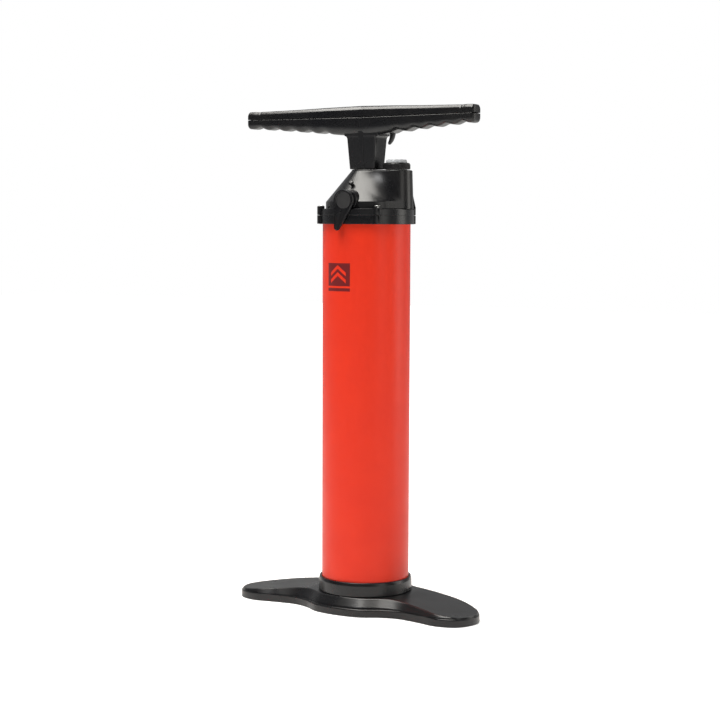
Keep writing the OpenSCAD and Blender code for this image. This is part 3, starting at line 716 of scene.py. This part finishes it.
def teardropRows(look, rows):
    # outline of the skin round the head and tip circles; every row shrinks each point toward its own
    # foot on the line between the two centres, at the depth its rule gives
    big, small, length = look["headRadius"], look["tipRadius"], look["length"]
    lean = math.asin((big - small) / length)
    t = np.linspace(0, 1, 41)
    headTurn = -lean + t * (math.pi + 2 * lean)              # round the head, from one tangent to the other
    tipTurn = math.pi + lean + t * (math.pi - 2 * lean)
    side = np.linspace(0, 1, 16)[1:-1, None]
    head = np.stack([big * np.cos(headTurn), big * np.sin(headTurn)], -1)
    tip = np.stack([small * np.cos(tipTurn), small * np.sin(tipTurn) - length], -1)
    footHead, footTip = np.zeros_like(head), np.zeros_like(tip) + (0, -length)
    outline = np.concatenate([head, head[-1] * (1 - side) + tip[0] * side, tip,
                              tip[-1] * (1 - side) + head[0] * side])
    foot = np.concatenate([footHead, footHead[-1] * (1 - side) + footTip[0] * side, footTip,
                           footTip[-1] * (1 - side) + footHead[0] * side])
    share = -foot[:, 1] / length
    made = []
    for shrink, depth in rows:
        p = foot + (outline - foot) * shrink
        made.append(np.stack([p[:, 0], depth(share, p), p[:, 1]], -1))
    return gridShell(np.stack(made, 0), closeRows=False)


def leverBack(share, p):
    return -51.95 - 0.9 * share


def leverFront(drop):
    # front face: drop below the rim, with a narrow groove down the tail
    def depth(share, p):
        groove = 0.35 * np.exp(-(p[:, 0] / 0.9) ** 2) * smoothStep(-p[:, 1], 9, 13) * (drop > 0.5)
        return -55.5 - 0.45 * share + drop + groove
    return depth


def backEdge(lift):
    return lambda share, p: leverBack(share, p) - lift


leverRows = [(k, leverBack) for k in (0.001, 0.5, 0.93)] + [(0.98, backEdge(0.15)), (1.0, backEdge(0.6))]
leverRows += [(k, leverFront(drop)) for k, drop in (
    (1.0, 0.7), (0.985, 0.25), (0.95, 0.03), (0.9, 0.0), (0.85, 0.1), (0.82, 0.5), (0.8, 0.85), (0.76, 0.95),
    (0.6, 0.95), (0.4, 0.95), (0.2, 0.95), (0.001, 0.95))]
blade = placed(teardropRows(selectorLook, leverRows), turn=selectorLook["rest"], axis="Y")
hubR = selectorLook["hubRadius"]
hub = roundedOutline([(0, 48.2), (hubR - 0.7, 48.2), (hubR, 49.0), (hubR, 52.4), (0, 52.4)], 0.4)
leverShells = [onSelector(placed(blade, (0, 0, selectorLook["height"]))),
               onSelector(alongFront(turnedShell(hub, 96), 0, selectorLook["height"]))]
makePiece("selectorLever", leverShells, "selector", black, ["selector_lever"])


def capShell(radius):
    # a low disc whose face carries a fine crossed grain: the product of two slanted sine waves
    angle = np.linspace(0, tau, 128, endpoint=False)[:, None]
    ring = np.concatenate([[0.001], np.arange(1, 12) * 0.08, [0.94, 0.98, 1.0, 1.0, 0.001]])
    drop = np.array([0.0] * 12 + [0.02, 0.08, 0.2, 0.7, 0.7])
    x, z = radius * ring * np.cos(angle), radius * ring * np.sin(angle)
    grain = 0.1 * np.sin(x * 4.2 + z * 2.1) * np.sin(z * 4.4 - x * 1.7) * (ring < 0.9)
    return gridShell(np.stack([x, -55.05 + drop + grain - 0.1, z], -1), closeRows=True, closeCols=False)


disc = onSelector(placed(capShell(selectorLook["capRadius"]), (0, 0, selectorLook["height"])))
makePiece("leverCap", [disc], "selector", materials["glassFilledDark"],
          ["lever_cap", "lever_screw"])
print("selector ready")


handleLook = {
    "half": 144.2, "sweep": 15.0, "midDepth": 30.0, "midHeight": 33.0, "top": 549.8, "endDepth": 17.4,
    "endHeight": 18.7, "endCentre": 537.2, "seam": 537.5, "fingerPitch": 20.7, "fingerFirst": 46.0,
    "fingers": 5, "fingerDepth": 2.1, "columns": 422, "endNotch": 0.5,
}


def unitSection():
    # cross-section in halves of depth and height, back side up, over the top, front side down, underneath;
    # the top corners are cut by a flat bevel and the lower ones are round
    sideHeights = np.array([-0.5, -0.42, -0.36, -0.33, -0.3, -0.27, -0.2, -0.1, -0.05, -0.02, 0.02, 0.05,
                            0.1, 0.2, 0.35, 0.5])
    side = np.stack([1 - 0.03 * sideHeights ** 2, sideHeights], -1)
    bevel = np.array([(0.992, 0.58), (0.975, 0.635), (0.955, 0.67), (0.9, 0.745), (0.84, 0.83), (0.8, 0.88),
                      (0.76, 0.92), (0.7, 0.955)])
    topAcross = np.linspace(0.64, -0.64, 9)
    top = np.stack([topAcross, 0.985 + 0.015 * (1 - (topAcross / 0.64) ** 2)], -1)
    turn = np.radians(np.linspace(8, 82, 9))
    low = np.stack([-(0.5 + 0.49 * np.cos(turn)), -(0.52 + 0.48 * np.sin(turn))], -1)
    under = np.linspace(-0.42, 0.42, 7)
    bottom = np.stack([under, np.full(7, -1.0)], -1)
    flip = np.array([-1, 1])
    return np.concatenate([side, bevel, top, bevel[::-1] * flip, side[::-1] * flip, low, bottom,
                           low[::-1] * flip])


def handleGrid(look, section):
    # the section carried along X: it shrinks from middle to ends, sweeps forward, swells again at the
    # end knobs, dips under each finger and closes with rounded ends
    half = look["half"]
    bend = np.linspace(-1, 1, look["columns"])
    x = half * bend
    ends = half - np.array([0.0, 0.08, 0.3, 0.65, 1.1, 1.7, 2.4, 3.2])
    x = np.sort(np.concatenate([x[1:-1], ends, -ends]))
    t = np.abs(x) / half
    middle = 1 - 0.06 * smoothStep(t, 0.25, 0.6) * (1 - smoothStep(t, 0.9, 0.94))
    band = 1 - 0.045 * np.exp(-((t - 0.885) / 0.006) ** 2)
    depth = (look["midDepth"] * (1 - t) + look["endDepth"] * t) * middle * band
    height = (look["midHeight"] * (1 - t) + look["endHeight"] * t) * (1 - 0.5 * (1 - middle)) * band
    centreZ = (look["top"] - look["midHeight"] / 2) * (1 - t) + look["endCentre"] * t
    centreY = -look["sweep"] * (t * 0.985 + 0.015 * t ** 2)
    close = half - np.abs(x)
    inset = np.where(close < 3.2, 3.2 - np.sqrt(np.maximum(3.2 ** 2 - (3.2 - close) ** 2, 0)), 0)
    depth, height = depth - 2 * inset, height - 2 * inset
    seamShare = ((look["seam"] - centreZ) / (height / 2))[:, None]
    a, q = section[:, 0][None], section[:, 1][None]
    b = np.where(q < 0, -1 + (q + 1) * (1 + seamShare), seamShare + q * (1 - seamShare))
    seamGroove = 0.03 * (np.abs(q) < 0.03)
    y = centreY[:, None] + depth[:, None] / 2 * a * (1 - seamGroove)
    z = centreZ[:, None] + height[:, None] / 2 * b
    along = (np.abs(x) - look["fingerFirst"]) / look["fingerPitch"]
    hollow = 0.5 + 0.5 * np.cos(tau * along)
    within = (along > -0.5) & (along < look["fingers"] - 0.5)
    z = z + look["fingerDepth"] * (hollow * within)[:, None] * smoothStep(-q, 0.45, 1.0)
    return np.stack([np.broadcast_to(x[:, None], y.shape), y, z], -1)


section = unitSection()
grid = handleGrid(handleLook, section)
upperPart = section[:, 1] > 0
order = np.flatnonzero(upperPart)
upper = grid[:, order]
lowOrder = np.roll(np.flatnonzero(~upperPart), -int(np.sum((~upperPart)[:10])))
lower = grid[:, lowOrder]
closeness = handleLook["half"] - np.abs(grid[:, :1, 0])
gap = 0.1 + handleLook["endNotch"] * (1 - smoothStep(closeness, 0.8, 2.4))  # the halves part at the ends
upper[:, :, 2] = np.maximum(upper[:, :, 2], handleLook["seam"] + gap)
lower[:, :, 2] = np.minimum(lower[:, :, 2], handleLook["seam"] - gap)
makePiece("handleCover", [gridShell(upper, closeRows=False, capEnds=True)], "handle", black,
          ["handle_upper"], 30)

stemLook = {"foot": 481.5, "top": 533.0, "fillet": 517.5, "halfWidth": 16.0, "halfDepth": 10.5, "round": 1.9,
            "widen": 0.066, "deepen": 0.0715, "filletSize": 3.2, "ribHalf": 2.9, "ribRise": 0.75}


def stemReach(z, look):
    # half width and half depth: both grow in a straight line with height, then a quarter circle opens
    # the width into the grips' underside
    rise = z - look["foot"]
    into = np.clip((z - (look["fillet"] - look["filletSize"])) / look["filletSize"], 0, 1)
    fillet = look["filletSize"] * (1 - np.sqrt(1 - into ** 2))
    return look["halfWidth"] + look["widen"] * rise + fillet, look["halfDepth"] + look["deepen"] * rise


def stemShell(look):
    # rounded rectangle carried up, its foot drawn in a little
    foot, fillet = look["foot"], look["fillet"]
    start = fillet - look["filletSize"]
    z = np.concatenate([[foot, foot + 0.2, foot + 0.6], np.linspace(foot + 2, start, 12),
                        np.linspace(start + 0.3, fillet, 14), [fillet + 3, look["top"]]])
    inset = np.concatenate([[0.6, 0.15], np.zeros(len(z) - 2)])
    w, d = stemReach(z, look)
    w, d, k = (w - inset)[:, None], (d - inset)[:, None], look["round"]
    turn = np.radians(np.linspace(0, 90, 7))
    c, s = np.cos(turn), np.sin(turn)
    corners = []
    for sx, sy, cc, ss in ((1, 1, c, s), (-1, 1, s, c), (-1, -1, c, s), (1, -1, s, c)):
        corners.append(np.stack([sx * (w - k + k * cc), sy * (d - k + k * ss)], -1))
    plan = np.concatenate(corners, 1)
    return gridShell(np.concatenate([plan, np.broadcast_to(z[:, None, None], plan.shape[:2] + (1,))], -1),
                     closeRows=False, capEnds=True)


def ribOnStem(look, side):
    # raised pad up the middle of a broad face, following the face's slope
    z = np.linspace(look["foot"] + 0.7, look["top"] - 4, 50)
    face = stemReach(z, look)[1]
    w, rise = look["ribHalf"], look["ribRise"]
    across = roundedOutline([(-w, rise), (w, rise), (w + 0.5, -1.2), (-w - 0.5, -1.2)], 0.6, 5)
    x = np.broadcast_to(across[:, 0], (len(z), len(across)))
    y = side * (face[:, None] + across[None, :, 1])
    z = np.broadcast_to(z[:, None], x.shape)
    return gridShell(np.stack([x, y, z], -1), closeRows=False, capEnds=True)


makePiece("handleBody", [gridShell(lower, closeRows=False, capEnds=True), stemShell(stemLook),
                         ribOnStem(stemLook, -1)], "handle", black, ["handle_lower"], 30)


hookLook = {"inner": [(30.4, 523.8), (30.2, 514.0), (26.8, 508.8)],
            "outer": [(36.2, 523.8), (35.8, 511.8), (28.4, 507.0)],
            "halfWidth": 2.65, "steps": 26}


def hookShell(look):
    # a claw between two quadratic curves: at each step an oval as thick as their gap, narrower near the tip
    t = np.linspace(0, 1, look["steps"])[:, None]
    inner, outer = ((1 - t) ** 2 * np.array(c[0]) + 2 * t * (1 - t) * np.array(c[1]) + t ** 2 * np.array(c[2])
                    for c in (look["inner"], look["outer"]))
    tip = np.sqrt(np.clip((1 - t) / 0.08, 0, 1))                       # closes the last few steps roundly
    centre, gap = (inner + outer) / 2, (outer - inner) / 2 * (0.1 + 0.9 * tip)
    width = look["halfWidth"] * (1 - 0.35 * t ** 2) * (0.1 + 0.9 * tip)
    turn = np.linspace(0, tau, 28, endpoint=False)[None, :]
    bulge = 0.62
    c = np.sign(np.cos(turn)) * np.abs(np.cos(turn)) ** bulge
    d = np.sign(np.sin(turn)) * np.abs(np.sin(turn)) ** bulge
    x, z = centre[:, :1] + gap[:, :1] * c, centre[:, 1:] + gap[:, 1:] * c
    return gridShell(np.stack([x, width * d, z], -1), closeRows=False, capEnds=True)


makePiece("hoseHook", [hookShell(hookLook)], "handle", black, ["hose_hook"])
print("handle ready")


roomLook = {"floor": 0.85, "glowNear": 0.42, "glowFar": 1.3, "nearReach": 0.45, "farReach": 2.2,
            "glowShare": 0.25, "front": 0.03, "back": 0.34,
            "topPower": 54.0, "keyPower": 9.5, "sidePower": 9.0, "fillPower": 3.5, "warm": (1.0, 0.975, 0.92)}


def plainStage():
    mesh = bpy.data.meshes.new("paleFloor")
    half, drop = 6.0, -0.0002
    corners = [(sx * half, sy * half, drop) for sx, sy in ((-1, -1), (1, -1), (1, 1), (-1, 1))]
    mesh.from_pydata(corners, [], [(0, 1, 2, 3)])
    floor = bpy.data.objects.new("paleFloor", mesh)
    bpy.context.scene.collection.objects.link(floor)
    material, tree, shader = startMaterial("palePaper", {"Roughness": 0.9, "Specular IOR Level": 0.1})
    shader.inputs["Base Color"].default_value = (*[roomLook["floor"]] * 3, 1)
    shader.inputs["Emission Color"].default_value = (1, 1, 1, 1)
    # the sheet's own light grows with the distance from the object, so that it ends in the white room
    reach = tree.nodes.new("ShaderNodeVectorMath")
    reach.operation = "LENGTH"
    tree.links.new(tree.nodes.new("ShaderNodeTexCoord").outputs["Object"], reach.inputs[0])
    grow = addRange(tree, reach.outputs["Value"], roomLook["nearReach"], roomLook["farReach"],
                    roomLook["glowNear"], roomLook["glowFar"])
    direct = addRange(tree, tree.nodes.new("ShaderNodeLightPath").outputs["Is Camera Ray"], 0, 1,
                      roomLook["glowShare"], 1.0)
    tree.links.new(addMath(tree, "MULTIPLY", grow, direct), shader.inputs["Emission Strength"])
    mesh.materials.append(material)
    floor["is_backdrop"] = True


def softBox(name, power, size, place, target, tint=(1, 1, 1)):
    light = bpy.data.lights.new(name, "AREA")
    light.shape, light.energy, light.color = "RECTANGLE", power, tint
    light.size, light.size_y = size
    lamp = bpy.data.objects.new(name, light)
    bpy.context.scene.collection.objects.link(lamp)
    lamp.location = place
    lamp.rotation_mode = "QUATERNION"
    lamp.rotation_quaternion = (Vector(target) - Vector(place)).to_track_quat("-Z", "Y")
    return lamp


plainStage()
bpy.context.scene.view_settings.view_transform = "Standard"

cameraLook = {"distance": 1.8789, "height": 0.4229, "azimuth": 32.06, "pitch": 4.56, "yaw": -0.205,
              "roll": 0.22, "lens": 85.68}


def placeCamera(look):
    # a level view from the side, then turned by yaw, tipped by pitch and rolled
    yaw, pitch, roll, theta = (math.radians(look[k]) for k in ("yaw", "pitch", "roll", "azimuth"))
    forward = np.array([math.sin(yaw) * math.cos(pitch), math.cos(yaw) * math.cos(pitch), -math.sin(pitch)])
    right = np.array([math.cos(yaw), -math.sin(yaw), 0])
    up = np.cross(right, forward)
    right, up = (math.cos(roll) * right + math.sin(roll) * up, -math.sin(roll) * right + math.cos(roll) * up)
    turn = np.array(Matrix.Rotation(theta, 3, "Z"))
    spot = turn @ np.array([0, -look["distance"], look["height"]])
    m = np.eye(4)
    m[:3, :3] = turn @ np.stack([right, up, -forward], 1)
    m[:3, 3] = spot
    camera = bpy.data.cameras.new("view")
    camera.lens, camera.sensor_width = look["lens"], 36.0
    eye = bpy.data.objects.new("view", camera)
    bpy.context.scene.collection.objects.link(eye)
    eye.matrix_world = Matrix(m.tolist())
    bpy.context.scene.camera = eye
    return turn


viewTurn = placeCamera(cameraLook)


def fromView(side, back, height):
    # a place given as it is seen: to the side, away from the eye, up
    return tuple(viewTurn @ np.array([side, back, height]))


def paleRoom(look):
    # the room seen directly is white; what lights and mirrors the object goes from white behind it
    # to dim in front, by the direction's share along the line of sight
    world = bpy.data.worlds.new("paleRoom")
    bpy.context.scene.world = world
    world.use_nodes = True
    tree = world.node_tree
    dim = tree.nodes["Background"]
    seen = tree.nodes.new("ShaderNodeBackground")
    away = tree.nodes.new("ShaderNodeVectorMath")
    away.operation = "DOT_PRODUCT"
    tree.links.new(tree.nodes.new("ShaderNodeTexCoord").outputs["Generated"], away.inputs[0])
    away.inputs[1].default_value = fromView(0, 1, 0)
    shade = addRange(tree, away.outputs["Value"], -0.1, 0.75, look["front"], look["back"])
    tree.links.new(shade, dim.inputs["Color"])
    mix = tree.nodes.new("ShaderNodeMixShader")
    tree.links.new(tree.nodes.new("ShaderNodeLightPath").outputs["Is Camera Ray"], mix.inputs[0])
    tree.links.new(dim.outputs[0], mix.inputs[1])
    tree.links.new(seen.outputs[0], mix.inputs[2])
    seen.inputs["Color"].default_value = (1, 1, 1, 1)
    tree.links.new(mix.outputs[0], tree.nodes["World Output"].inputs["Surface"])


paleRoom(roomLook)
middle = (0, 0, 0.3)
softBox("topBox", roomLook["topPower"], (1.5, 1.0), fromView(-0.32, -0.08, 1.9), middle, roomLook["warm"])
softBox("keyBox", roomLook["keyPower"], (0.5, 0.5), fromView(-0.9, -1.1, 1.7), middle)
softBox("sideBox", roomLook["sidePower"], (0.7, 1.8), fromView(1.7, 0.1, 0.75), middle, roomLook["warm"])
softBox("fillBox", roomLook["fillPower"], (0.7, 1.0), fromView(1.25, -1.45, 0.75), middle, roomLook["warm"])
print("stage ready")

low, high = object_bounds()
